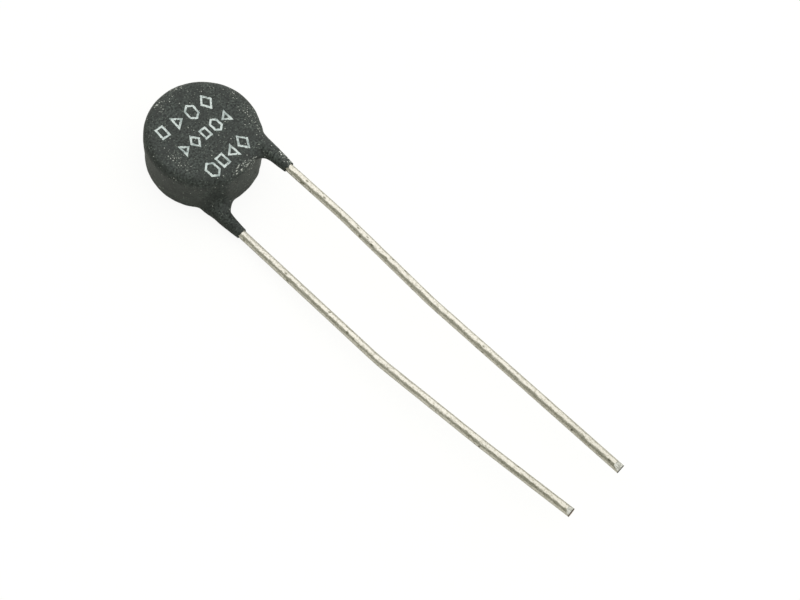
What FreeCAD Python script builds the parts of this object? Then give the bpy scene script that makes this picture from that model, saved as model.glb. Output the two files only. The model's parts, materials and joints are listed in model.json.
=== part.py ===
import FreeCAD, Part
import Sketcher
import math
import os

# NTC thermistor: a ceramic disc between two silver electrodes, a tinned lead soldered to each,
# and a black coating that the whole was dipped in. Millimetres.
#
# The part lies on its back face. The origin is the centre of that face, +Z points up through the
# printed front face, and the leads run towards -Y, the front lead on the +X side.

DOC = FreeCAD.newDocument("thermistor")
Vector = FreeCAD.Vector


# Driving dimensions

SIZES = [
    # the ceramic disc
    ("ceramic_diameter", 12.0),
    ("ceramic_thickness", 4.0),
    ("ceramic_edge_chamfer", 0.3),
    # the fired silver films, which stop short of the disc's edge
    ("electrode_diameter", 10.8),
    ("electrode_thickness", 0.05),
    # the solder, a film under the wire and a bead along both its sides
    ("solder_film", 0.08),
    ("bead_overhang", 0.4),
    ("bead_margin", 0.8),
    ("bead_width", 2.3),
    ("bead_height", 0.85),
    ("bead_taper", 1.1),
    # the tinned wire
    ("wire_diameter", 1.0),
    ("face_run_past_middle", 2.9),
    ("face_run_angle", 20.0),
    ("rim_gap", 0.4),
    ("kink_radius", 1.2),
    ("bow_radius", 120.0),
    ("nip_length", 0.9),
    ("nip_depth", 0.3),
    ("lead_reach", 57.85),
    ("back_lead_shortfall", 0.8),
    # the front lead: how far to the side it runs at the rim, at its two bends and at the tip,
    # and where along it the bends are, from 0 at the rim to 1 at the tip
    ("front_exit_offset", 3.70),
    ("front_bow_offset", 3.72),
    ("front_bow_place", 0.233),
    ("front_turn_offset", 3.18),
    ("front_turn_place", 0.49),
    ("front_tip_offset", 3.40),
    # the back lead
    ("back_exit_offset", 3.85),
    ("back_bow_offset", 4.90),
    ("back_bow_place", 0.5),
    ("back_turn_offset", 4.42),
    ("back_turn_place", 0.78),
    ("back_tip_offset", 3.80),
    # the dipped coating and its two drawn-out necks
    ("coat_over_wire", 0.235),
    ("coat_rim_wall", 0.5),
    ("coat_edge_radius", 1.0),
    ("neck_end_wall", 0.16),
    ("neck_throat_wall", 0.34),
    ("neck_throat_flattening", 0.12),
    ("neck_throat_gap", 2.0),
    ("neck_root_depth", 2.0),
    ("neck_root_cover", 0.2),
    ("neck_root_flattening", 0.2),
    ("front_neck_root_width", 2.4),
    ("back_neck_root_width", 2.6),
    ("front_neck_fillet", 1.0),
    ("back_neck_fillet", 1.6),
    ("front_neck_reach", 9.5),
    ("back_neck_reach", 9.85),
]


def make_sheet():
    """The spreadsheet of driving dimensions, one aliased cell each."""
    sheet = DOC.addObject("Spreadsheet::Sheet", "sizes")
    for row, (alias, value) in enumerate(SIZES, start=1):
        sheet.set(f"A{row}", alias)
        sheet.set(f"B{row}", str(value))
        sheet.setAlias(f"B{row}", alias)
    DOC.recompute()
    return sheet


SHEET = make_sheet()


def size(alias):
    """One driving dimension as a plain number."""
    return float(getattr(SHEET, alias))


# Heights, from the back face up, as formulas of the sheet

HALF_CERAMIC = "sizes.ceramic_thickness / 2"
ELECTRODE_TO_WIRE = "sizes.solder_film + sizes.wire_diameter / 2"
WIRE_OFF_MIDDLE = f"({HALF_CERAMIC} + sizes.electrode_thickness + {ELECTRODE_TO_WIRE})"
MIDDLE = f"({WIRE_OFF_MIDDLE} + sizes.wire_diameter / 2 + sizes.coat_over_wire)"

TIP_REACH = {
    "front": "sizes.lead_reach",
    "back": "(sizes.lead_reach - sizes.back_lead_shortfall)",
}


def kink_formula(side):
    """How far from the disc's centre a lead turns down over the ceramic's rim."""
    reach = "(sizes.ceramic_diameter / 2 + sizes.rim_gap)"
    return f"sqrt({reach} ^ 2 - sizes.{side}_exit_offset ^ 2)"


def value_of(formula):
    """A formula's value, worked out by the document."""
    return float(SHEET.evalExpression(formula))


def bind(thing, **formulas):
    """Binds an object's properties to formulas; a double underscore stands for a dot."""
    for name, formula in formulas.items():
        thing.setExpression(name.replace("__", "."), formula)


def body_with_disc(name, radius, thickness, height):
    """A Body holding one padded circle, set at its height."""
    body = DOC.addObject("PartDesign::Body", name)
    plane = next(o for o in body.Origin.OriginFeatures if o.Role == "XY_Plane")
    sketch = body.newObject("Sketcher::SketchObject", f"{name}_outline")
    sketch.AttachmentSupport = [(plane, "")]
    sketch.MapMode = "FlatFace"
    sketch.addGeometry(Part.Circle(Vector(0, 0, 0), Vector(0, 0, 1), 1.0), False)
    sketch.addConstraint(Sketcher.Constraint("Coincident", 0, 3, -1, 1))
    sketch.addConstraint(Sketcher.Constraint("Radius", 0, 1.0))
    sketch.renameConstraint(1, "radius")
    bind(sketch, Constraints__radius=radius)
    pad = body.newObject("PartDesign::Pad", f"{name}_pad")
    pad.Profile = sketch
    bind(pad, Length=thickness)
    bind(body, Placement__Base__z=height)
    body.Label = name
    DOC.recompute()
    return body, pad


def soften_edges(body, pad, kind, **amount):
    """Fillets or chamfers both circular edges of a padded disc."""
    softened = body.newObject(f"PartDesign::{kind}", f"{body.Name}_edges")
    circles = [
        f"Edge{number}"
        for number, edge in enumerate(pad.Shape.Edges, start=1)
        if isinstance(edge.Curve, Part.Circle)
    ]
    softened.Base = (pad, circles)
    bind(softened, **amount)
    DOC.recompute()


# The ceramic disc and its electrodes


def make_ceramic():
    """The pressed and sintered disc, with the small chamfers that its press tool leaves."""
    body, pad = body_with_disc(
        "ceramic_disc",
        "sizes.ceramic_diameter / 2",
        "sizes.ceramic_thickness",
        f"{MIDDLE} - {HALF_CERAMIC}",
    )
    soften_edges(body, pad, "Chamfer", Size="sizes.ceramic_edge_chamfer")
    return body


def make_electrode(name, height):
    """A thin round film of fired silver."""
    film = DOC.addObject("Part::Cylinder", name)
    film.Label = name
    bind(
        film,
        Radius="sizes.electrode_diameter / 2",
        Height="sizes.electrode_thickness",
        Placement__Base__z=height,
    )
    return film


# The leads


def rounded_path(corners, radii):
    """A wire of straight runs joined by tangent arcs, one radius to each inner corner."""
    edges = []
    start = corners[0]
    for before, corner, after, radius in zip(corners, corners[1:], corners[2:], radii):
        back = (before - corner).normalize()
        onward = (after - corner).normalize()
        half_turn = (math.pi - back.getAngle(onward)) / 2
        trim = radius * math.tan(half_turn)
        first = corner + back * trim
        last = corner + onward * trim
        inward = (back + onward).normalize()
        centre = corner + inward * (radius / math.cos(half_turn))
        middle = centre - inward * radius
        edges.append(Part.LineSegment(start, first).toShape())
        edges.append(Part.Arc(first, middle, last).toShape())
        start = last
    edges.append(Part.LineSegment(start, corners[-1]).toShape())
    return Part.Wire(edges)


def make_lead(name, side, across, face):
    """A round wire: laid slantwise on its electrode, turned at the rim, then run out slightly
    bowed, and down or up to the disc's middle plane at the tip. The cutters left the tip square,
    with a shallow bevel on top where their jaw pressed in.

    across is +1 or -1 for the +X or -X side, and face is +1 or -1 for the front or the back.
    """
    middle = value_of(MIDDLE)
    off_middle = face * value_of(WIRE_OFF_MIDDLE)
    rim_reach = value_of(kink_formula(side))
    tip_reach = value_of(TIP_REACH[side])
    kink = Vector(across * size(f"{side}_exit_offset"), -rim_reach, middle + off_middle)
    slant = math.radians(size("face_run_angle"))
    run_length = (rim_reach + size("face_run_past_middle")) / math.cos(slant)
    face_run = Vector(-across * math.sin(slant), math.cos(slant), 0) * run_length
    corners = [kink + face_run, kink]
    for station in ("bow", "turn", "tip"):
        place = 1 if station == "tip" else size(f"{side}_{station}_place")
        x = across * size(f"{side}_{station}_offset")
        y = -rim_reach - place * (tip_reach - rim_reach)
        corners.append(Vector(x, y, middle + off_middle * (1 - place)))
    radii = [size("kink_radius"), size("bow_radius"), size("bow_radius")]

    path = DOC.addObject("Part::Feature", f"{name}_path")
    path.Shape = rounded_path(corners, radii)

    section = DOC.addObject("Part::Circle", f"{name}_section")
    bind(section, Radius="sizes.wire_diameter / 2")
    start_tangent = (corners[1] - corners[0]).normalize()
    turn = FreeCAD.Rotation(Vector(0, 0, 1), start_tangent)
    section.Placement = FreeCAD.Placement(corners[0], turn)

    sweep = DOC.addObject("Part::Sweep", f"{name}_wire")
    sweep.Sections = [section]
    sweep.Spine = (path, [f"Edge{n + 1}" for n in range(len(path.Shape.Edges))])
    sweep.Solid = True
    sweep.Frenet = False

    cutter = DOC.addObject("Part::Box", f"{name}_cutter")
    bind(
        cutter,
        Length="4 * sizes.wire_diameter",
        Width="4 * sizes.wire_diameter",
        Height="4 * sizes.wire_diameter",
        Placement__Base__x=f"{across} * sizes.{side}_tip_offset - 2 * sizes.wire_diameter",
        Placement__Base__y=f"-{TIP_REACH[side]}",
        Placement__Base__z=f"{MIDDLE} + sizes.wire_diameter / 2 - sizes.nip_depth",
    )
    cutter.Placement.Rotation = FreeCAD.Rotation(Vector(1, 0, 0), 0)
    bind(cutter, Placement__Rotation__Angle="atan(sizes.nip_depth / sizes.nip_length)")

    lead = DOC.addObject("Part::Cut", name)
    lead.Base = sweep
    lead.Tool = cutter
    lead.Label = name
    DOC.recompute()
    return lead, path


# The solder


def make_solder_joint(name, lead, path, face, carriers):
    """A long low bead of solder that the wire lies in, tapered at both ends, from just past the
    wire's inner end to short of the electrode's edge. Its top is part of a round bar that lies
    half sunk in the face; carriers are the pieces that take the sunk half away."""
    run = path.Shape.Edges[0]
    inner_end = run.valueAt(run.FirstParameter)
    along = run.tangentAt(run.FirstParameter)
    electrode_radius = size("electrode_diameter") / 2
    inward = inner_end.x * along.x + inner_end.y * along.y
    inner_reach_squared = inner_end.x**2 + inner_end.y**2
    to_edge = -inward + math.sqrt(inward**2 - inner_reach_squared + electrode_radius**2)
    first = -size("bead_overhang")
    last = to_edge - size("bead_margin")
    taper = size("bead_taper")

    half_width = "(sizes.bead_width / 2)"
    bar_radius = f"(({half_width} ^ 2 + sizes.bead_height ^ 2) / (2 * sizes.bead_height))"
    sunk = f"({bar_radius} - sizes.bead_height)"
    face_height = f"({HALF_CERAMIC} + sizes.electrode_thickness)"
    height = value_of(f"{MIDDLE} + {face} * ({face_height} - {sunk})")

    def on_bar(station, direction):
        spot = inner_end + along * station
        turn = FreeCAD.Rotation(Vector(0, 0, 1), direction)
        return FreeCAD.Placement(Vector(spot.x, spot.y, height), turn)

    bar = DOC.addObject("Part::Cylinder", f"{name}_bar")
    bind(bar, Radius=bar_radius)
    bar.Height = last - first - 2 * taper
    bar.Placement = on_bar(first + taper, along)
    ends = []
    for number, (station, direction) in enumerate(
        [(first + taper, along * -1), (last - taper, along)], start=1
    ):
        cone = DOC.addObject("Part::Cone", f"{name}_end_{number}")
        bind(cone, Radius1=bar_radius, Radius2=f"{sunk} / 2", Height="sizes.bead_taper")
        cone.Placement = on_bar(station, direction)
        ends.append(cone)
    bead = DOC.addObject("Part::MultiFuse", f"{name}_bead")
    bead.Shapes = [bar] + ends
    away = DOC.addObject("Part::MultiFuse", f"{name}_away")
    away.Shapes = [lead] + carriers

    joint = DOC.addObject("Part::Cut", name)
    joint.Base = bead
    joint.Tool = away
    joint.Label = name
    DOC.recompute()
    return joint


# The coating


def neck_section(name, place, half_width, half_height):
    """One upright elliptical section of a neck, facing along the lead."""
    section = DOC.addObject("Part::Ellipse", name)
    x, y, z = place
    bind(
        section,
        MajorRadius=half_width,
        MinorRadius=half_height,
        Placement=f"placement(vector({x}; {y}; {z}); rotation(0; 0; 90))",
    )
    return section


def make_neck(side, across, face):
    """The coating drawn out along a lead: an oval root inside the rim, a throat round the wire,
    and a thin edge where the dip ended."""
    offset = f"sizes.{side}_exit_offset"
    kink_reach = kink_formula(side)
    tip_reach = TIP_REACH[side]

    def on_wire(reach):
        place = f"((({reach}) - {kink_reach}) / ({tip_reach} - {kink_reach}))"
        bowed = f"(sizes.{side}_bow_offset - {offset}) * {place} / sizes.{side}_bow_place"
        x = f"{across} * ({offset} + {bowed})"
        z = f"{MIDDLE} + {face} * {WIRE_OFF_MIDDLE} * (1 - {place})"
        return x, f"-({reach})", z

    x, y, _ = on_wire(f"{kink_reach} - sizes.neck_root_depth")
    half_width = f"sizes.{side}_neck_root_width / 2"
    half_height = f"({half_width} - sizes.neck_root_flattening / 2)"
    z = f"{MIDDLE} + {face} * ({MIDDLE} - sizes.neck_root_cover - {half_height})"
    root = neck_section(f"{side}_neck_root", (x, y, z), half_width, half_height)
    throat_radius = "(sizes.wire_diameter / 2 + sizes.neck_throat_wall)"
    throat = neck_section(
        f"{side}_neck_throat",
        on_wire(f"{kink_reach} + sizes.neck_throat_gap"),
        throat_radius,
        f"{throat_radius} - sizes.neck_throat_flattening / 2",
    )
    end_radius = "(sizes.wire_diameter / 2 + sizes.neck_end_wall)"
    end = neck_section(
        f"{side}_neck_end", on_wire(f"sizes.{side}_neck_reach"), end_radius, end_radius
    )
    neck = DOC.addObject("Part::Loft", f"{side}_neck")
    neck.Sections = [root, throat, end]
    neck.Solid = True
    neck.Ruled = True
    DOC.recompute()
    return neck


def seam_edges(fused, first, second):
    """The numbers of the fused shape's edges where two of its pieces met."""
    touching = 1e-4
    seams = []
    for number, edge in enumerate(fused.Edges, start=1):
        halfway = (edge.FirstParameter + edge.LastParameter) / 2
        point = Part.Vertex(edge.valueAt(halfway))
        gaps = [piece.Shells[0].distToShape(point)[0] for piece in (first, second)]
        if max(gaps) < touching:
            seams.append(number)
    return seams


def make_coating(inner_pieces):
    """The dip coat: a disc with rounded edges and two necks that flow out of its rim, around
    everything inside."""
    radius = "sizes.ceramic_diameter / 2 + sizes.coat_rim_wall"
    disc, pad = body_with_disc("coat_disc", radius, f"2 * {MIDDLE}", "0")
    soften_edges(disc, pad, "Fillet", Radius="sizes.coat_edge_radius")
    necks = [make_neck("front", 1, 1), make_neck("back", -1, -1)]
    joined = DOC.addObject("Part::MultiFuse", "coat_joined")
    joined.Shapes = [disc] + necks
    DOC.recompute()

    outside = DOC.addObject("Part::Fillet", "coat_outside")
    outside.Base = joined
    rounds = []
    for neck, side in zip(necks, ("front", "back")):
        radius = size(f"{side}_neck_fillet")
        seams = seam_edges(joined.Shape, disc.Shape, neck.Shape)
        rounds += [(number, radius, radius) for number in seams]
    outside.Edges = rounds

    inside = DOC.addObject("Part::Compound", "coat_inside")
    inside.Links = inner_pieces
    coating = DOC.addObject("Part::Cut", "coating")
    coating.Base = outside
    coating.Tool = inside
    coating.Label = "coating"
    DOC.recompute()
    return coating


# The parts, checked and written


def check_document():
    """Stops if any object of the document failed."""
    for thing in DOC.Objects:
        if "Invalid" in thing.State or "Error" in thing.State:
            raise RuntimeError(f"{thing.Label} failed: {thing.State}")


def write_pieces(pieces):
    """Checks each piece's solid and writes it under its label."""
    os.makedirs("parts", exist_ok=True)
    for piece in pieces:
        shape = piece.Shape
        if shape.isNull() or not shape.isValid() or len(shape.Solids) != 1:
            raise RuntimeError(f"{piece.Label} isn't one valid solid")
        print(f"{piece.Label}: {shape.Volume:.3f} mm3, {len(shape.Faces)} faces")
        shape.exportStep(f"parts/{piece.Label}.step")


ceramic = make_ceramic()
front_electrode = make_electrode("front_electrode", f"{MIDDLE} + {HALF_CERAMIC}")
back_electrode = make_electrode(
    "back_electrode", f"{MIDDLE} - {HALF_CERAMIC} - sizes.electrode_thickness"
)
front_lead, front_path = make_lead("front_lead", "front", 1, 1)
back_lead, back_path = make_lead("back_lead", "back", -1, -1)
front_solder = make_solder_joint(
    "front_solder_joint", front_lead, front_path, 1, [ceramic, front_electrode]
)
back_solder = make_solder_joint(
    "back_solder_joint", back_lead, back_path, -1, [ceramic, back_electrode]
)
inner = [
    ceramic,
    front_electrode,
    back_electrode,
    front_lead,
    back_lead,
    front_solder,
    back_solder,
]
coating = make_coating(inner)
DOC.recompute()
check_document()
write_pieces([coating] + inner)
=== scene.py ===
import json
import math

import bmesh
import bpy
from mathutils import Matrix, Vector

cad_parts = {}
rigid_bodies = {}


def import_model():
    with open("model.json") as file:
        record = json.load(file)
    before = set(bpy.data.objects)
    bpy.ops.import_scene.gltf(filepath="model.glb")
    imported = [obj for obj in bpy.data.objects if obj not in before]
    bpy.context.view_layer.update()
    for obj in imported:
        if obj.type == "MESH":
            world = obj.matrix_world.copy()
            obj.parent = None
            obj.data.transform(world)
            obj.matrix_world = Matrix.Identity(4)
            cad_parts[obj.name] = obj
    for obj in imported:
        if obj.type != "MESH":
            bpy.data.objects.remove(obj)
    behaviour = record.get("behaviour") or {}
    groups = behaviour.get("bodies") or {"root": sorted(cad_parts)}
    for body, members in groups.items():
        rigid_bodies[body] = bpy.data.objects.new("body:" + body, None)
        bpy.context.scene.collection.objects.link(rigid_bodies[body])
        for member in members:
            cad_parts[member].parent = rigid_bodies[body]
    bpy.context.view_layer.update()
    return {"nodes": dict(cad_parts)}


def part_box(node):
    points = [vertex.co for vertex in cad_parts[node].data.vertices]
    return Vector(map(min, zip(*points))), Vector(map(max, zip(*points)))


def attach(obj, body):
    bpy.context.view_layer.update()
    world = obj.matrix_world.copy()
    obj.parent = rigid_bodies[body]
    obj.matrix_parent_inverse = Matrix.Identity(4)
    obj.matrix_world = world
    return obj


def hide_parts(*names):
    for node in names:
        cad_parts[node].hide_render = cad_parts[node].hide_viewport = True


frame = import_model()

# The view: the part lies on its back on a white table, seen from above with the leads running
# away to the lower right. The camera stands where the photograph's did, about 0.19 m off, and
# the picture is 800 by 600.

MM = 0.001
LENS_MM = 76.22
SENSOR_WIDTH_MM = 36.0
NEAREST = 5 * MM
FARTHEST = 10.0
CAMERA_PLACE = Vector((-59.22, -63.44, 172.41)) * MM
VIEW_BACK = Vector((-0.33154, -0.19241, 0.92361)).normalized()
VIEW_UP = Vector((0.66661, 0.64499, 0.37365)).normalized()

camera = bpy.data.objects.new("camera", bpy.data.cameras.new("camera"))
bpy.context.scene.collection.objects.link(camera)
camera.data.sensor_width = SENSOR_WIDTH_MM
camera.data.lens = LENS_MM
camera.data.clip_start = NEAREST
camera.data.clip_end = FARTHEST
view_right = VIEW_UP.cross(VIEW_BACK).normalized()
view_up = VIEW_BACK.cross(view_right)
turned = Matrix((view_right, view_up, VIEW_BACK)).transposed().to_4x4()
camera.matrix_world = Matrix.Translation(CAMERA_PLACE) @ turned
bpy.context.scene.camera = camera
bpy.context.scene.view_settings.view_transform = "Standard"


# The table and the light: a plain white table top, and one great soft panel that reaches from
# over the part down to the right. The room on the left is darker, which gives the round wires
# their dark side. The table is seen white with a faint shadow, but throws back a greyer light.

TABLE_WIDTH = 3.0
TABLE_GAP = 0.01 * MM
TABLE_WHITE = (1.0, 1.0, 0.995, 1)
TABLE_LEVEL = 1.05
TABLE_BOUNCE = (0.74, 0.74, 0.71, 1)
SHADOW_SHARE = 0.14
PANEL_COLOUR = (1.0, 1.0, 0.96)
ROOM_COLOUR = (0.275, 0.28, 0.235)
PANEL_LEVEL = 1.45

# where the panel starts and ends, and how far it fades out, in degrees to the right from straight
# above
PANEL_FROM = -11.0
PANEL_TO = 72.0
PANEL_SOFTNESS = 15.0


def shade(tree, kind, inputs=None, **properties):
    """Adds a shader node; an input given as a socket is linked, and any other is set."""
    node = tree.nodes.new("ShaderNode" + kind)
    for name, value in properties.items():
        setattr(node, name, value)
    for key, value in (inputs or {}).items():
        socket = node.inputs[key]
        if isinstance(value, bpy.types.NodeSocket):
            tree.links.new(value, socket)
        else:
            socket.default_value = value
    return node


def ramp(tree, factor, *stops):
    """A colour ramp's colour; each stop is a place and a grey level or a colour."""
    node = shade(tree, "ValToRGB", {0: factor})
    elements = node.color_ramp.elements
    while len(elements) < len(stops):
        elements.new(0.5)
    for element, (place, level) in zip(elements, stops):
        element.position = place
        colour = level if isinstance(level, tuple) else (level,) * 3
        element.color = (*colour, 1)
    return node.outputs[0]


def maths(tree, operation, *values, clamp=False):
    """A Math node's result."""
    inputs = dict(enumerate(values))
    return shade(tree, "Math", inputs, operation=operation, use_clamp=clamp).outputs[0]


bpy.ops.mesh.primitive_plane_add(size=TABLE_WIDTH, location=(0, 0, -TABLE_GAP))
table_top = bpy.context.object
table_top.name = "table_top"
white_table = bpy.data.materials.new("white_table")
white_table.use_nodes = True
top = white_table.node_tree
top.nodes.clear()
bounce = shade(top, "BsdfDiffuse", {"Color": TABLE_BOUNCE})
white = shade(top, "Emission", {"Color": TABLE_WHITE, "Strength": TABLE_LEVEL})
shown = shade(top, "MixShader", {0: SHADOW_SHARE, 1: white.outputs[0], 2: bounce.outputs[0]})
seen = shade(top, "LightPath").outputs["Is Camera Ray"]
table_look = shade(top, "MixShader", {0: seen, 1: bounce.outputs[0], 2: shown.outputs[0]})
shade(top, "OutputMaterial", {"Surface": table_look.outputs[0]})
table_top.data.materials.append(white_table)

studio = bpy.data.worlds.new("studio")
bpy.context.scene.world = studio
studio.use_nodes = True
sky = studio.node_tree
sky.nodes.clear()
direction = shade(sky, "TexCoord").outputs["Generated"]
parts = shade(sky, "SeparateXYZ", {0: direction})
lean = maths(sky, "ARCTAN2", parts.outputs["X"], parts.outputs["Z"])
lean_share = shade(
    sky, "MapRange", {"Value": lean, "From Min": -math.pi / 2, "From Max": math.pi / 2}
).outputs[0]
light = ramp(
    sky,
    lean_share,
    ((90 + PANEL_FROM - PANEL_SOFTNESS) / 180, ROOM_COLOUR),
    ((90 + PANEL_FROM) / 180, PANEL_COLOUR),
    ((90 + PANEL_TO) / 180, PANEL_COLOUR),
    ((90 + PANEL_TO + PANEL_SOFTNESS) / 180, ROOM_COLOUR),
)
lit = shade(sky, "Background", {"Color": light, "Strength": PANEL_LEVEL})
pale = shade(sky, "Background", {"Color": TABLE_WHITE, "Strength": 1.0})
seen = shade(sky, "LightPath").outputs["Is Camera Ray"]
both = shade(sky, "MixShader", {0: seen, 1: lit.outputs[0], 2: pale.outputs[0]})
shade(sky, "OutputWorld", {"Surface": both.outputs[0]})


# The coating: one skin of black silicone with fine pale filler grains in it. The finished disc
# is dipped in it twice, hung up by its leads and cured, so the skin is softly lumpy and is drawn
# out along each wire to a thin, slightly ragged edge.

MERGED_WITHIN = 0.001 * MM
VOXEL = 0.1 * MM
PAST_NECK = 0.8 * MM
NECK_END = -9.0 * MM
FRONT_NECK_END = -9.5 * MM
BACK_NECK_END = -9.85 * MM
RAGGED_LENGTH = 0.6 * MM
RAGGED_DEPTH = 0.5 * MM
RAGGED_LUMPS = 0.35 * MM
COAT_CREASE = math.radians(40)

# a face whose normal has a Y below this looks out along the leads
FACING_TIPS = -0.9

# the skin's unevenness: how wide its lumps are and how deep, in mm
UNEVENNESS = [("dip_lumps", 2.4, 0.10), ("dip_ripples", 0.9, 0.035)]

# where the coat hangs fuller, at the roots of the necks: the place, how far round it, and how
# much fuller it is, in mm
FULLER_ROOTS = [
    ((-2.75, -6.65), 1.6, 0.20),
    ((-4.80, -4.90), 1.3, 0.16),
    ((2.70, -6.60), 1.1, 0.17),
    ((4.95, -4.30), 1.4, 0.14),
]


def pick(piece):
    """Selects one object alone and makes it the active one."""
    bpy.ops.object.select_all(action="DESELECT")
    piece.select_set(True)
    bpy.context.view_layer.objects.active = piece


def choose_faces(piece, wanted):
    """In edit mode, selects the faces for which wanted(face) is true, and no others."""
    mesh = bmesh.from_edit_mesh(piece.data)
    for face in mesh.faces:
        face.select = bool(wanted(face))
    mesh.select_flush(True)
    bmesh.update_edit_mesh(piece.data)


def choose_neck_ends(piece):
    """In edit mode, selects the faces that look along the leads, out of the necks' ends."""
    choose_faces(
        piece,
        lambda face: face.normal.y < FACING_TIPS and face.calc_center_median().y < NECK_END,
    )


def modify(piece, kind, **settings):
    """Adds a modifier with these settings and applies it."""
    modifier = piece.modifiers.new(kind.lower(), kind)
    for name, value in settings.items():
        setattr(modifier, name, value)
    pick(piece)
    bpy.ops.object.modifier_apply(modifier=modifier.name)


def clouds(name, size):
    """A soft noise for the Displace modifier, with lumps of about this size."""
    texture = bpy.data.textures.new(name, "CLOUDS")
    texture.noise_scale = size
    texture.noise_depth = 1
    return texture


dip_coat = bpy.data.objects.new("dip_coat", frame["nodes"]["coating"].data.copy())
bpy.context.scene.collection.objects.link(dip_coat)
dip_coat.data.materials.clear()
pick(dip_coat)
bpy.ops.object.mode_set(mode="EDIT")
bpy.ops.mesh.select_mode(type="VERT")
bpy.ops.mesh.select_all(action="SELECT")
bpy.ops.mesh.remove_doubles(threshold=MERGED_WITHIN)
bpy.ops.mesh.select_mode(type="FACE")
choose_neck_ends(dip_coat)
bpy.ops.mesh.delete(type="FACE")
front_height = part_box("coating")[1].z
choose_faces(dip_coat, lambda face: face.calc_center_median().z > front_height - MERGED_WITHIN)
bpy.ops.mesh.select_linked()
bpy.ops.mesh.select_all(action="INVERT")
bpy.ops.mesh.separate(type="SELECTED")
bpy.ops.object.mode_set(mode="OBJECT")
coat_room = next(piece for piece in bpy.context.selected_objects if piece is not dip_coat)
for shell in (dip_coat, coat_room):
    pick(shell)
    bpy.ops.object.mode_set(mode="EDIT")
    bpy.ops.mesh.select_all(action="SELECT")
    bpy.ops.mesh.fill_holes(sides=0)
    bpy.ops.mesh.select_all(action="SELECT")
    bpy.ops.mesh.normals_make_consistent(inside=False)
    bpy.ops.object.mode_set(mode="OBJECT")

# what the coat lies round, run on past the necks so that it cuts them open
pick(coat_room)
bpy.ops.object.mode_set(mode="EDIT")
choose_neck_ends(coat_room)
bpy.ops.mesh.extrude_region_move(TRANSFORM_OT_translate={"value": (0, -PAST_NECK, 0)})
bpy.ops.object.mode_set(mode="OBJECT")

modify(dip_coat, "REMESH", mode="VOXEL", voxel_size=VOXEL, use_smooth_shade=True)

ragged = dip_coat.vertex_groups.new(name="ragged_end")
for vertex in dip_coat.data.vertices:
    end = FRONT_NECK_END if vertex.co.x > 0 else BACK_NECK_END
    weight = 1 - (vertex.co.y - end) / RAGGED_LENGTH
    if weight > 0:
        ragged.add([vertex.index], min(weight, 1), "REPLACE")

fuller = dip_coat.vertex_groups.new(name="fuller_roots")
for vertex in dip_coat.data.vertices:
    swell = 0
    for place, reach, amount in FULLER_ROOTS:
        away = (vertex.co.xy - Vector(place) * MM).length / (reach * MM)
        swell += amount * max(1 - away**2, 0) ** 2
    weight = swell * (1 - abs(vertex.normal.z))
    if weight > 0:
        fuller.add([vertex.index], weight, "REPLACE")

modify(dip_coat, "DISPLACE", vertex_group="fuller_roots", mid_level=0.0, strength=MM)
for name, width, depth in UNEVENNESS:
    modify(
        dip_coat,
        "DISPLACE",
        texture=clouds(name, width * MM),
        texture_coords="LOCAL",
        strength=depth * MM,
    )
modify(
    dip_coat,
    "DISPLACE",
    texture=clouds("ragged_edge", RAGGED_LUMPS),
    texture_coords="LOCAL",
    direction="Y",
    vertex_group="ragged_end",
    strength=RAGGED_DEPTH,
)
for vertex in dip_coat.data.vertices:
    vertex.co.z = max(vertex.co.z, 0)
modify(dip_coat, "BOOLEAN", operation="DIFFERENCE", solver="MANIFOLD", object=coat_room)
bpy.data.objects.remove(coat_room)
pick(dip_coat)
bpy.ops.object.shade_smooth_by_angle(angle=COAT_CREASE)
dip_coat.data.materials.clear()
for face in dip_coat.data.polygons:
    face.material_index = 0


COARSE_TO_FINE = 6.0


def grain_group():
    """Fine and coarse grain, each from 0 to 1; the material gives the fine grain's size."""
    group = bpy.data.node_groups.new("grain", "ShaderNodeTree")
    group.interface.new_socket("Vector", in_out="INPUT", socket_type="NodeSocketVector")
    group.interface.new_socket("Scale", in_out="INPUT", socket_type="NodeSocketFloat")
    group.interface.new_socket("Fine", in_out="OUTPUT", socket_type="NodeSocketFloat")
    group.interface.new_socket("Coarse", in_out="OUTPUT", socket_type="NodeSocketFloat")
    given = group.nodes.new("NodeGroupInput")
    fine = shade(
        group,
        "TexNoise",
        {"Vector": given.outputs["Vector"], "Scale": given.outputs["Scale"], "Detail": 3.0},
    )
    wider = maths(group, "DIVIDE", given.outputs["Scale"], COARSE_TO_FINE)
    coarse = shade(
        group, "TexNoise", {"Vector": given.outputs["Vector"], "Scale": wider, "Detail": 2.0}
    )
    result = group.nodes.new("NodeGroupOutput")
    group.links.new(fine.outputs[0], result.inputs["Fine"])
    group.links.new(coarse.outputs[0], result.inputs["Coarse"])
    return group


GRAIN = grain_group()


def grain_of(tree, size, place):
    """The grain group in a material, with grains of this size."""
    node = tree.nodes.new("ShaderNodeGroup")
    node.node_tree = GRAIN
    tree.links.new(place, node.inputs["Vector"])
    node.inputs["Scale"].default_value = 1 / size
    return node.outputs["Fine"], node.outputs["Coarse"]


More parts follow.
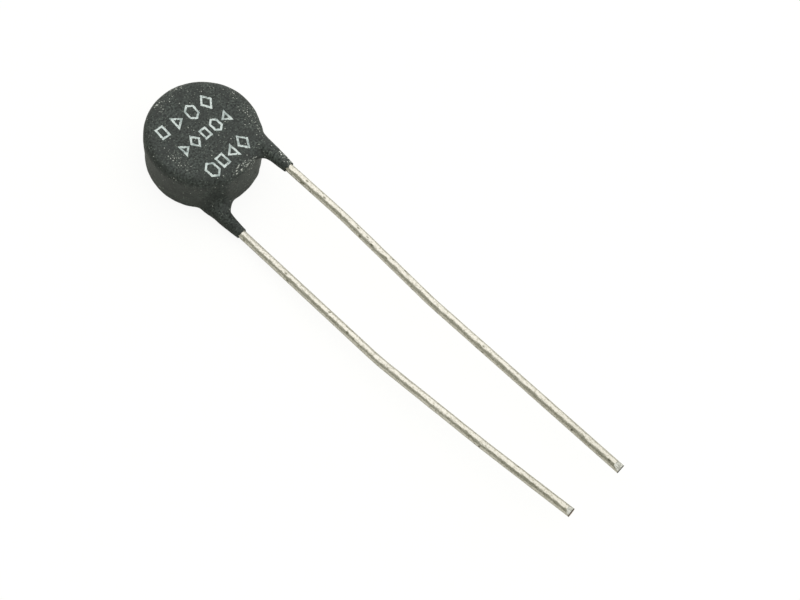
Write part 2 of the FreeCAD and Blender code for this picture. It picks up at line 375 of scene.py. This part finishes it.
def speck_group():
    """Small round specks: of the cells, this share hold one, of this size against the cell."""
    group = bpy.data.node_groups.new("specks", "ShaderNodeTree")
    group.interface.new_socket("Vector", in_out="INPUT", socket_type="NodeSocketVector")
    for name in ("Scale", "Share", "Size"):
        group.interface.new_socket(name, in_out="INPUT", socket_type="NodeSocketFloat")
    group.interface.new_socket("Mask", in_out="OUTPUT", socket_type="NodeSocketFloat")
    given = group.nodes.new("NodeGroupInput").outputs
    cells = shade(group, "TexVoronoi", {"Vector": given["Vector"], "Scale": given["Scale"]})
    inner = maths(group, "MULTIPLY", given["Size"], 0.5)
    spot = shade(
        group,
        "MapRange",
        {
            "Value": cells.outputs["Distance"],
            "From Min": inner,
            "From Max": given["Size"],
            "To Min": 1.0,
            "To Max": 0.0,
        },
    ).outputs[0]
    draw = shade(group, "SeparateColor", {0: cells.outputs["Color"]}).outputs["Red"]
    chosen = maths(group, "LESS_THAN", draw, given["Share"])
    mask = maths(group, "MULTIPLY", spot, chosen)
    result = group.nodes.new("NodeGroupOutput")
    group.links.new(mask, result.inputs["Mask"])
    return group


SPECKS = speck_group()


def specks_of(tree, spacing, share, size, place):
    """The speck group in a material; share may be a number or a mask."""
    node = tree.nodes.new("ShaderNodeGroup")
    node.node_tree = SPECKS
    tree.links.new(place, node.inputs["Vector"])
    node.inputs["Scale"].default_value = 1 / spacing
    node.inputs["Size"].default_value = size
    if isinstance(share, float):
        node.inputs["Share"].default_value = share
    else:
        tree.links.new(share, node.inputs["Share"])
    return node.outputs["Mask"]


def new_material(name, colour):
    """A node material: its tree, its Principled shader and the Object coordinates."""
    material = bpy.data.materials.new(name)
    material.use_nodes = True
    material.diffuse_color = (*colour, 1)
    tree = material.node_tree
    place = shade(tree, "TexCoord").outputs["Object"]
    return material, tree, tree.nodes["Principled BSDF"], place


def relief(tree, height, depth, under=None):
    """A Bump node's normal, for a height from 0 to 1 that stands for depth in metres."""
    inputs = {"Height": height, "Distance": depth, "Strength": 1.0}
    if under is not None:
        inputs["Normal"] = under
    return shade(tree, "Bump", inputs).outputs[0]


def blend_colours(tree, factor, first, second):
    """A Mix node's colour."""
    inputs = {0: factor, 6: first, 7: second}
    return shade(tree, "Mix", inputs, data_type="RGBA").outputs[2]


COAT_DARK = (0.007, 0.010, 0.009, 1)
COAT_LIGHT = (0.070, 0.084, 0.078, 1)
COAT_DULL = (0.024, 0.028, 0.027, 1)
COAT_SPECULAR = 0.3
COAT_MOTTLE = 0.24 * MM
GRAIN_AND_GLINT_COLOUR = (0.13, 0.15, 0.13, 1)
GRAIN_SPACING = 0.16 * MM
GRAIN_SIZE = 0.45
GRAINS_MORE = 0.10
SPECK_AND_GLINT_COLOUR = (0.46, 0.48, 0.45, 1)
SPECK_SPACING = 0.21 * MM
SPECK_SIZE = 0.36
GRAINS_AND_GLINTS_ON_FRONT = 0.02
GRAINS_AND_GLINTS_EVERYWHERE = 0.015
FRONT_FROM = 4.8 * MM
FRONT_FULLY = 5.6 * MM
FINE_RELIEF = 0.05 * MM
COARSE_RELIEF = 0.08 * MM
SPECK_RELIEF = 0.03 * MM

# where the pale specks show: a patch's middle and half sizes in mm, its turn in degrees, and
# the share of the specks shown there. The specks are partly filler grains and partly painted
# highlight, the glints where the rims and shoulders catch the light
GRAIN_AND_GLINT_PATCHES = [
    ((-1.3, 5.4), (1.3, 0.7), 98, 0.60),
    ((1.0, 5.6), (2.6, 0.8), -5, 0.45),
    ((4.0, 2.7), (1.2, 0.6), 72, 0.14),
    ((5.6, 1.0), (1.5, 0.6), 90, 0.30),
    ((4.75, -3.0), (2.8, 0.9), 68, 0.45),
    ((0.2, -6.05), (1.9, 0.45), -4, 1.0),
    ((-4.3, -0.6), (2.4, 0.9), 92, 0.45),
    ((4.1, -8.5), (1.5, 0.6), 79, 0.95),
]

# where short pale dashes show on the rims and the front neck, in the same form; they are partly
# scuffs and partly painted highlight of the edges
SCUFF_AND_GLINT_PATCHES = [
    ((0.2, -6.05), (2.0, 0.5), -4, 0.75),
    ((4.15, -8.6), (1.3, 0.7), 79, 0.75),
    ((-1.2, 5.85), (0.7, 0.45), 0, 0.75),
    ((2.0, 5.9), (1.4, 0.4), -18, 0.55),
]
SCUFF_AND_GLINT_COLOUR = (0.60, 0.62, 0.59, 1)
SCUFF_AND_GLINT_SPACING = 0.2 * MM
SCUFF_AND_GLINT_SIZE = 0.36
SCUFF_AND_GLINT_STRETCH = (0.4, 1.0, 1.0)


def patches_mask(tree, place, patches, elsewhere):
    """A mask with each patch's share inside it, fading out to its rim, and this elsewhere."""
    mask = elsewhere
    for middle, half, turn, share in patches:
        from_middle = shade(
            tree,
            "Mapping",
            {
                "Vector": place,
                "Location": (middle[0] * MM, middle[1] * MM, 0),
                "Rotation": (0, 0, math.radians(turn)),
                "Scale": (half[0] * MM, half[1] * MM, 1),
            },
            vector_type="TEXTURE",
        ).outputs[0]
        away = shade(tree, "VectorMath", {0: from_middle}, operation="LENGTH").outputs["Value"]
        patch = ramp(tree, away, (0.45, share), (1.0, 0.0))
        mask = maths(tree, "MAXIMUM", mask, patch)
    return mask


# the coat's colour: a random mottle, and pale specks that are partly filler grains and partly
# painted highlight, the glints of the rims and shoulders
coat_material, coat_tree, coat_shader, coat_place = new_material(
    "silicone_dip", (0.02, 0.02, 0.02)
)
coat_shader.inputs["Specular IOR Level"].default_value = COAT_SPECULAR
fine, coarse = grain_of(coat_tree, COAT_MOTTLE, coat_place)
mottle = ramp(coat_tree, fine, (0.36, 0.0), (0.66, 1.0))
coat_colour = blend_colours(coat_tree, mottle, COAT_DARK, COAT_LIGHT)
dull = ramp(coat_tree, coarse, (0.35, 0.0), (0.65, 0.7))
coat_colour = blend_colours(coat_tree, dull, coat_colour, COAT_DULL)

# the pale specks' share: filler grains, and painted glints on the front's rims and shoulders
grains_and_glints = patches_mask(coat_tree, coat_place, GRAIN_AND_GLINT_PATCHES, GRAINS_AND_GLINTS_ON_FRONT)
height = shade(coat_tree, "SeparateXYZ", {0: coat_place}).outputs["Z"]
on_front = shade(
    coat_tree, "MapRange", {"Value": height, "From Min": FRONT_FROM, "From Max": FRONT_FULLY}
).outputs[0]
grains_and_glints = maths(coat_tree, "MULTIPLY_ADD", grains_and_glints, on_front, GRAINS_AND_GLINTS_EVERYWHERE)
grain_and_glint_share = maths(coat_tree, "ADD", grains_and_glints, GRAINS_MORE)
# faint pale grains everywhere, with more of them where the glints are painted
pale_grains_and_glints = specks_of(coat_tree, GRAIN_SPACING, grain_and_glint_share, GRAIN_SIZE, coat_place)
coat_colour = blend_colours(coat_tree, pale_grains_and_glints, coat_colour, GRAIN_AND_GLINT_COLOUR)
# brighter pale specks: partly grains, partly painted highlight
specks = specks_of(coat_tree, SPECK_SPACING, grains_and_glints, SPECK_SIZE, coat_place)
coat_colour = blend_colours(coat_tree, specks, coat_colour, SPECK_AND_GLINT_COLOUR)
# short pale dashes on the rims and the front neck: partly scuffs, partly painted highlight
sideways = shade(
    coat_tree, "Mapping", {"Vector": coat_place, "Scale": SCUFF_AND_GLINT_STRETCH}
).outputs[0]
scuff_and_glint_share = patches_mask(coat_tree, coat_place, SCUFF_AND_GLINT_PATCHES, 0.0)
scuff_and_glint_share = maths(coat_tree, "MULTIPLY", scuff_and_glint_share, on_front)
scuffs_and_glints = specks_of(coat_tree, SCUFF_AND_GLINT_SPACING, scuff_and_glint_share, SCUFF_AND_GLINT_SIZE, sideways)
coat_colour = blend_colours(coat_tree, scuffs_and_glints, coat_colour, SCUFF_AND_GLINT_COLOUR)
coat_tree.links.new(coat_colour, coat_shader.inputs["Base Color"])
coat_roughness = ramp(coat_tree, fine, (0.3, 0.45), (0.7, 0.65))
coat_tree.links.new(coat_roughness, coat_shader.inputs["Roughness"])
skin = relief(coat_tree, fine, FINE_RELIEF)
skin = relief(coat_tree, coarse, COARSE_RELIEF, skin)
skin = relief(coat_tree, specks, SPECK_RELIEF, skin)
coat_tree.links.new(skin, coat_shader.inputs["Normal"])
dip_coat.data.materials.append(coat_material)

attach(dip_coat, "root")
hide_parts("coating")


# The print: three rows of small plain marks in white ink, put on with a rubber pad after the
# coating is cured. The ink is a thin film that follows the skin, worn a little through.

STROKE = 0.23 * MM
MARK_TALLNESS = 1.4
MARK_CUTS = 9
INK_THICKNESS = 0.015 * MM
INK_EDGE_LUMPS = 0.25 * MM
INK_EDGE_DEPTH = 0.10 * MM
PRINT_START = front_height + 0.6 * MM

# each row's two ends, left and right, its marks' radius, and how many corners each has and
# how far it is turned
ROWS = [
    (
        Vector((-3.2, 2.9)) * MM,
        Vector((2.8, 2.2)) * MM,
        0.78 * MM,
        [(4, 45), (3, 30), (6, 0), (4, 0)],
    ),
    (
        Vector((-3.0, -0.3)) * MM,
        Vector((3.05, -0.6)) * MM,
        0.69 * MM,
        [(3, 30), (4, 0), (4, 45), (6, 0), (3, -30)],
    ),
    (
        Vector((-2.6, -4.1)) * MM,
        Vector((2.1, -4.1)) * MM,
        0.78 * MM,
        [(6, 0), (4, 45), (3, -30), (4, 0)],
    ),
]


def lay_mark(corners, turn, slope, place, radius):
    """One open mark of even stroke, cut up finely enough to follow the skin under it."""
    bpy.ops.mesh.primitive_circle_add(
        vertices=corners, radius=radius, fill_type="NGON", rotation=(0, 0, turn)
    )
    mark = bpy.context.object
    bpy.ops.object.transform_apply(location=True, rotation=True, scale=True)
    mark.scale.y = MARK_TALLNESS
    mark.rotation_euler.z = slope
    mark.location = (place.x, place.y, PRINT_START)
    bpy.ops.object.transform_apply(location=True, rotation=True, scale=True)
    bpy.ops.object.mode_set(mode="EDIT")
    bpy.ops.mesh.select_all(action="SELECT")
    bpy.ops.mesh.inset(thickness=STROKE)
    bpy.ops.mesh.delete(type="FACE")
    bpy.ops.mesh.select_all(action="SELECT")
    bpy.ops.mesh.subdivide(number_cuts=MARK_CUTS)
    bpy.ops.object.mode_set(mode="OBJECT")
    return mark


marks = []
for left, right, radius, signs in ROWS:
    slope = math.atan2(right.y - left.y, right.x - left.x)
    for number, (corners, turn) in enumerate(signs):
        spot = left.lerp(right, number / (len(signs) - 1))
        marks.append(lay_mark(corners, math.radians(turn), slope, spot, radius))

bpy.ops.object.select_all(action="DESELECT")
for mark in marks:
    mark.select_set(True)
bpy.context.view_layer.objects.active = marks[0]
bpy.ops.object.join()
face_print = bpy.context.object
face_print.name = "face_print"
for axis in ("X", "Y"):
    modify(
        face_print,
        "DISPLACE",
        texture=clouds(f"ink_edge_{axis}", INK_EDGE_LUMPS),
        texture_coords="LOCAL",
        direction=axis,
        strength=INK_EDGE_DEPTH,
    )
modify(
    face_print,
    "SHRINKWRAP",
    target=dip_coat,
    wrap_method="PROJECT",
    use_project_z=True,
    use_negative_direction=True,
    use_positive_direction=False,
    offset=INK_THICKNESS,
)
modify(face_print, "SOLIDIFY", thickness=INK_THICKNESS, offset=-1.0)

INK_WHITE = (0.62, 0.69, 0.69, 1)
INK_THIN = (0.36, 0.42, 0.42, 1)
INK_WORN = (0.05, 0.06, 0.055, 1)
INK_GRAIN = 0.16 * MM
INK_RELIEF = 0.03 * MM

ink_material, ink_tree, ink_shader, ink_place = new_material("pad_ink", (0.5, 0.57, 0.57))
fine, coarse = grain_of(ink_tree, INK_GRAIN, ink_place)
thin = ramp(ink_tree, coarse, (0.45, 0.0), (0.62, 1.0))
ink_colour = blend_colours(ink_tree, thin, INK_WHITE, INK_THIN)
worn = ramp(ink_tree, fine, (0.58, 0.0), (0.68, 1.0))
ink_colour = blend_colours(ink_tree, worn, ink_colour, INK_WORN)
ink_tree.links.new(ink_colour, ink_shader.inputs["Base Color"])
ink_roughness = ramp(ink_tree, coarse, (0.3, 0.60), (0.7, 0.80))
ink_tree.links.new(ink_roughness, ink_shader.inputs["Roughness"])
ink_tree.links.new(relief(ink_tree, fine, INK_RELIEF), ink_shader.inputs["Normal"])
face_print.data.materials.append(ink_material)

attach(face_print, "root")


# The leads: 1 mm copper wire, drawn and hung in molten tin, which sets a little thicker towards
# the tips. Each is soldered slantwise to its side of the disc, turned at the rim, rolled nearly
# straight and cut off square by cutters whose jaw has pressed a shallow bevel on top.

WIRE_RADIUS = 0.5 * MM
WIRE_SIDES = 40
RUN_STEPS = 90
TIN_GROWTH = 0.07
KINK_RADIUS = 1.2 * MM
BOW_RADIUS = 40 * MM
FACE_RUN_ANGLE = math.radians(20)
FACE_RUN_PAST_MIDDLE = 2.9 * MM
RIM_GAP = 0.4 * MM
SOLDER_FILM = 0.08 * MM
NIP_LENGTH = 0.9 * MM
NIP_DEPTH = 0.3 * MM
TIP_SHADOW_BAND = 0.1 * MM
WAVER_LENGTH = 1.6 * MM
WAVER_DEPTH = 0.02 * MM
WIRE_CREASE = math.radians(35)

# the bevel's faces: how near the tip they are, how nearly they face the jaw's way, and how large
# they are at least
NEAR_TIP = 1.5 * NIP_LENGTH
ON_BEVEL = 0.98
BEVEL_FACE_AREA = 0.05 * MM * MM

# how far to the side each lead runs at the rim, at its two bends and at the tip, and where the
# bends are, from 0 at the rim to 1 at the tip
LEADS = {
    "front": {
        "across": 1,
        "offsets": (3.70, 3.72, 3.18, 3.40),
        "places": (0, 0.233, 0.49, 1),
        "reach": 57.85 * MM,
    },
    "back": {
        "across": -1,
        "offsets": (3.85, 4.90, 4.42, 3.80),
        "places": (0, 0.5, 0.78, 1),
        "reach": 57.05 * MM,
    },
}

middle = front_height / 2
wire_off_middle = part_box("front_electrode")[1].z + SOLDER_FILM + WIRE_RADIUS - middle
rim_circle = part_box("ceramic_disc")[1].x + RIM_GAP


def bend_wire(name, corners, radii):
    """A wire with straight runs and round bends: a Bezier curve, with a knot at each bend's two
    ends, and the round section along it."""
    knots = [corners[0]]
    pulls = [None]
    for before, corner, after, radius in zip(corners, corners[1:], corners[2:], radii):
        back = (before - corner).normalized()
        onward = (after - corner).normalized()
        turn = math.pi - back.angle(onward)
        trim = radius * math.tan(turn / 2)
        pull = radius * math.tan(turn / 4) * 4 / 3
        knots += [corner + back * trim, corner + onward * trim]
        pulls += [(-back * pull, -onward * pull), None]
    knots.append(corners[-1])

    curve = bpy.data.curves.new(name, "CURVE")
    curve.dimensions = "3D"
    curve.bevel_depth = WIRE_RADIUS
    curve.bevel_resolution = WIRE_SIDES // 4 - 1
    curve.use_fill_caps = True
    spline = curve.splines.new("BEZIER")
    spline.resolution_u = RUN_STEPS
    spline.bezier_points.add(len(knots) - 1)
    for knot, place in zip(spline.bezier_points, knots):
        knot.handle_left_type = knot.handle_right_type = "FREE"
        knot.co = knot.handle_left = knot.handle_right = place
        knot.radius = 1 + TIN_GROWTH * max(place.y / corners[-1].y, 0)
    for knot, after, pull in zip(spline.bezier_points, spline.bezier_points[1:], pulls):
        third = (after.co - knot.co) / 3
        leaving, arriving = pull or (third, -third)
        knot.handle_right = knot.co + leaving
        after.handle_left = after.co + arriving
    wire = bpy.data.objects.new(name, curve)
    bpy.context.scene.collection.objects.link(wire)
    pick(wire)
    bpy.ops.object.convert(target="MESH")
    return bpy.context.object


def make_lead(side, sizes):
    """One lead, from the disc's face round the rim to its cut tip; also the bevel's normal."""
    across = sizes["across"]
    exit_offset = sizes["offsets"][0] * MM
    rim_reach = math.sqrt(rim_circle**2 - exit_offset**2)
    corners = []
    for offset, place in zip(sizes["offsets"], sizes["places"]):
        reach = rim_reach + place * (sizes["reach"] - rim_reach)
        height = middle + across * wire_off_middle * (1 - place)
        corners.append(Vector((across * offset * MM, -reach, height)))
    slant = Vector((-across * math.sin(FACE_RUN_ANGLE), math.cos(FACE_RUN_ANGLE), 0))
    run = (rim_reach + FACE_RUN_PAST_MIDDLE) / math.cos(FACE_RUN_ANGLE)
    corners.insert(0, corners[0] + slant * run)
    lead = bend_wire(f"{side}_wire", corners, (KINK_RADIUS, BOW_RADIUS, BOW_RADIUS))

    tip = corners[-1]
    nip_angle = math.atan2(NIP_DEPTH, NIP_LENGTH)
    nip_normal = Vector((0, -math.sin(nip_angle), math.cos(nip_angle)))
    bpy.ops.object.mode_set(mode="EDIT")
    bpy.ops.mesh.select_all(action="SELECT")
    bpy.ops.mesh.remove_doubles(threshold=MERGED_WITHIN)
    bpy.ops.mesh.bisect(
        plane_co=(tip.x, tip.y, tip.z + WIRE_RADIUS - NIP_DEPTH),
        plane_no=nip_normal,
        clear_outer=True,
    )
    bpy.ops.mesh.select_all(action="SELECT")
    bpy.ops.mesh.fill_holes(sides=0)
    bpy.ops.mesh.select_all(action="SELECT")
    bpy.ops.mesh.normals_make_consistent(inside=False)
    bpy.ops.mesh.bisect(plane_co=(0, TIP_SHADOW_BAND - sizes["reach"], 0), plane_no=(0, 1, 0))
    bpy.ops.object.mode_set(mode="OBJECT")
    return lead, nip_normal


TIN = (0.67, 0.645, 0.59, 1)
TIN_DULL = (0.43, 0.41, 0.345, 1)
TIN_SPOT = (0.12, 0.11, 0.09, 1)
TIN_PIT = (0.26, 0.25, 0.20, 1)
TIN_GRAIN = 0.16 * MM
ROLLED_RELIEF = 0.16 * MM
DRAWN_RELIEF = 0.02 * MM
DRAWN_OUT = (1.0, 0.6, 1.0)
PIT_SPACING = 0.45 * MM
PIT_SIZE = 0.34
SPOT_SPACING = 1.3 * MM
SPOT_SIZE = 0.12
SPOT_SHARE = 0.35

# how the tin changes along the leads, between two places: its dullness, painted darker towards
# the tips as painted shade, and the share of pits, most near the disc
TIP_SHADE_RANGE = {"From Min": -54 * MM, "From Max": -40 * MM, "To Min": 0.27, "To Max": 0.0}
PITTED = {"From Min": -32 * MM, "From Max": -18 * MM, "To Min": 0.10, "To Max": 0.42}

tin_material, tin_tree, tin_shader, tin_place = new_material("tinned_wire", (0.8, 0.78, 0.7))
tin_shader.inputs["Metallic"].default_value = 1.0
drawn = shade(tin_tree, "Mapping", {"Vector": tin_place, "Scale": DRAWN_OUT}).outputs[0]
fine, coarse = grain_of(tin_tree, TIN_GRAIN, drawn)
dullness_and_tip_shade = ramp(tin_tree, fine, (0.48, 0.0), (0.70, 1.0))
along = shade(tin_tree, "SeparateXYZ", {0: tin_place}).outputs["Y"]
# painted shade: the tin is made darker towards the tips
tip_shade = shade(tin_tree, "MapRange", {"Value": along, **TIP_SHADE_RANGE}).outputs[0]
dullness_and_tip_shade = maths(tin_tree, "ADD", dullness_and_tip_shade, tip_shade, clamp=True)
tin_colour = blend_colours(tin_tree, dullness_and_tip_shade, TIN, TIN_DULL)
pitted = shade(tin_tree, "MapRange", {"Value": along, **PITTED}).outputs[0]
pits = specks_of(tin_tree, PIT_SPACING, pitted, PIT_SIZE, drawn)
tin_colour = blend_colours(tin_tree, pits, tin_colour, TIN_PIT)
spots = specks_of(tin_tree, SPOT_SPACING, SPOT_SHARE, SPOT_SIZE, tin_place)
tin_colour = blend_colours(tin_tree, spots, tin_colour, TIN_SPOT)
tin_tree.links.new(tin_colour, tin_shader.inputs["Base Color"])
tin_roughness = ramp(tin_tree, coarse, (0.3, 0.20), (0.7, 0.34))
tin_tree.links.new(tin_roughness, tin_shader.inputs["Roughness"])
rolled = relief(tin_tree, coarse, ROLLED_RELIEF)
rolled = relief(tin_tree, fine, DRAWN_RELIEF, rolled)
tin_tree.links.new(rolled, tin_shader.inputs["Normal"])


CUT_GRAIN = 0.13 * MM
CUT_RELIEF = 0.012 * MM


def cut_metal(name, dark, light, metallic):
    """Bare metal as the cutters leave it, between these two colours; also the painted shadow at
    the cut end.
    """
    material, tree, shader, place = new_material(name, light)
    shader.inputs["Metallic"].default_value = metallic
    fine, coarse = grain_of(tree, CUT_GRAIN, place)
    colour = ramp(tree, fine, (0.36, dark), (0.62, light))
    tree.links.new(colour, shader.inputs["Base Color"])
    tree.links.new(ramp(tree, coarse, (0.3, 0.35), (0.7, 0.55)), shader.inputs["Roughness"])
    tree.links.new(relief(tree, fine, CUT_RELIEF), shader.inputs["Normal"])
    return material


# the lead's materials in the order of their slots, and each slot's number
WIRE_MATERIALS = [
    tin_material,
    cut_metal("nipped_bevel", (0.26, 0.26, 0.23), (0.58, 0.58, 0.54), 1.0),
    # a painted shadow: a dark band round the cut end, as if thrown by the burr's edge
    cut_metal("painted_tip_shadow", (0.03, 0.028, 0.025), (0.11, 0.10, 0.085), 0.2),
    cut_metal("cut_end", (0.30, 0.19, 0.13), (0.52, 0.36, 0.27), 1.0),
]
TINNED, NIPPED, TIP_SHADOW, CUT_END = range(4)

for side, sizes in LEADS.items():
    lead, nip_normal = make_lead(side, sizes)
    modify(
        lead,
        "DISPLACE",
        texture=clouds(f"{side}_waver", WAVER_LENGTH),
        texture_coords="LOCAL",
        strength=WAVER_DEPTH,
    )
    pick(lead)
    bpy.ops.object.shade_smooth_by_angle(angle=WIRE_CREASE)
    for material in WIRE_MATERIALS:
        lead.data.materials.append(material)
    for face in lead.data.polygons:
        if face.center.y < NEAR_TIP - sizes["reach"]:
            faces_jaw = face.normal.dot(nip_normal) > ON_BEVEL
            if face.normal.y < FACING_TIPS:
                face.material_index = CUT_END
            # the last band before the end is painted as shadow
            elif face.center.y < TIP_SHADOW_BAND - sizes["reach"]:
                face.material_index = TIP_SHADOW
            elif faces_jaw and face.area > BEVEL_FACE_AREA:
                face.material_index = NIPPED
            face.use_smooth = face.material_index == TINNED
    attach(lead, "root")
    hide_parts(f"{side}_lead")


# The disc itself: metal oxide powder, pressed with a small chamfer on both edges and sintered
# dark and matt. It is wholly inside the coating.

CERAMIC_GRAIN = 0.08 * MM
CERAMIC_DARK = (0.022, 0.020, 0.020)
CERAMIC_LIGHT = (0.045, 0.041, 0.040)
CERAMIC_ROUGHNESS = (0.7, 0.9)
CERAMIC_RELIEF = 0.02 * MM


def grained(name, shown, grain, dark, light, roughness, metallic=0.0):
    """A material mottled between two colours and two roughnesses, and what a relief needs."""
    material, tree, shader, place = new_material(name, shown)
    shader.inputs["Metallic"].default_value = metallic
    fine, coarse = grain_of(tree, grain, place)
    tree.links.new(ramp(tree, coarse, (0.3, dark), (0.7, light)), shader.inputs["Base Color"])
    smooth, rough = roughness
    tree.links.new(ramp(tree, fine, (0.3, smooth), (0.7, rough)), shader.inputs["Roughness"])
    return material, tree, shader.inputs["Normal"], fine, coarse


def dress(node, material):
    """Gives a carried-over piece its material."""
    slots = frame["nodes"][node].data.materials
    slots.clear()
    slots.append(material)


ceramic_material, tree, normal, fine, coarse = grained(
    "sintered_oxide",
    (0.05, 0.045, 0.045),
    CERAMIC_GRAIN,
    CERAMIC_DARK,
    CERAMIC_LIGHT,
    CERAMIC_ROUGHNESS,
)
tree.links.new(relief(tree, fine, CERAMIC_RELIEF), normal)
dress("ceramic_disc", ceramic_material)


# The electrodes: one film of silver on each face of the disc, screened on as paste and fired, so
# that it is thin, matt and bound to the ceramic.

SILVER_GRAIN = 0.05 * MM
SILVER_DARK = (0.70, 0.68, 0.63)
SILVER_LIGHT = (0.86, 0.85, 0.81)
SILVER_ROUGHNESS = (0.45, 0.65)
SILVER_RELIEF = 0.01 * MM

silver_material, tree, normal, fine, coarse = grained(
    "fired_silver",
    (0.8, 0.79, 0.75),
    SILVER_GRAIN,
    SILVER_DARK,
    SILVER_LIGHT,
    SILVER_ROUGHNESS,
    metallic=1.0,
)
tree.links.new(relief(tree, fine, SILVER_RELIEF), normal)
for side in LEADS:
    dress(f"{side}_electrode", silver_material)


# The solder: one long low bead on each side, of tin alloy, reflowed round the lead so that it
# wets the silver and holds the wire just off it.

SOLDER_GRAIN = 0.12 * MM
SOLDER_DARK = (0.58, 0.58, 0.58)
SOLDER_LIGHT = (0.74, 0.74, 0.74)
SOLDER_ROUGHNESS = (0.18, 0.32)
SOLDER_RELIEF = 0.02 * MM

solder_material, tree, normal, fine, coarse = grained(
    "reflowed_solder",
    (0.7, 0.7, 0.7),
    SOLDER_GRAIN,
    SOLDER_DARK,
    SOLDER_LIGHT,
    SOLDER_ROUGHNESS,
    metallic=1.0,
)
tree.links.new(relief(tree, coarse, SOLDER_RELIEF), normal)
for side in LEADS:
    dress(f"{side}_solder_joint", solder_material)
